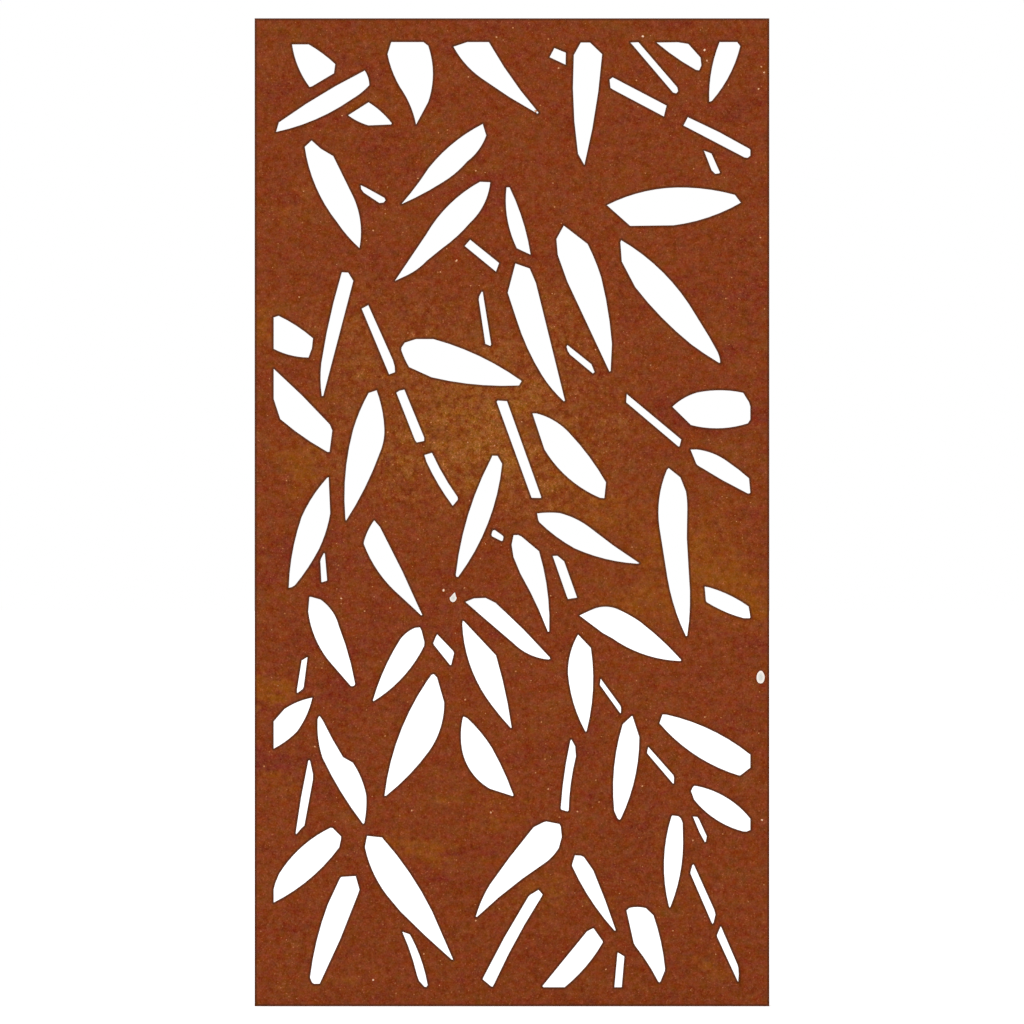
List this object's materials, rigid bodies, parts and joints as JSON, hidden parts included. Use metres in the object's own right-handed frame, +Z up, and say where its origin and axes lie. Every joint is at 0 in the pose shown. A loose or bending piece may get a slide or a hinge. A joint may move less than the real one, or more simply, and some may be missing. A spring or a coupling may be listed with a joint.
{
  "type": "laser cut metal screen",
  "caption": "Upright rectangular weathering steel screen with a cut-out bamboo leaf pattern, stiffened behind its border by a mitred frame of folded steel angles.",
  "frame": {"origin": "centre of the width and of the depth, at the lower edge of the face sheet", "axes": "+X to the right as seen from the front, +Y to the back, +Z up; the patterned face looks towards -Y"},
  "size_m": [0.547, 0.0264, 1.05],
  "materials": {
    "weathered_face": "matte",
    "weathered_frame": "matte",
    "weld": "matte",
    "stainless": "satin"
  },
  "bodies": {
    "root": {"face_sheet": "weathered_face", "left_stile": "weathered_frame", "right_stile": "weathered_frame", "top_rail": "weathered_frame", "bottom_rail": "weathered_frame", "corner_welds": "weld", "weld_studs": "stainless", "washers": "stainless", "nuts": "stainless"}
  },
  "joints": []
}
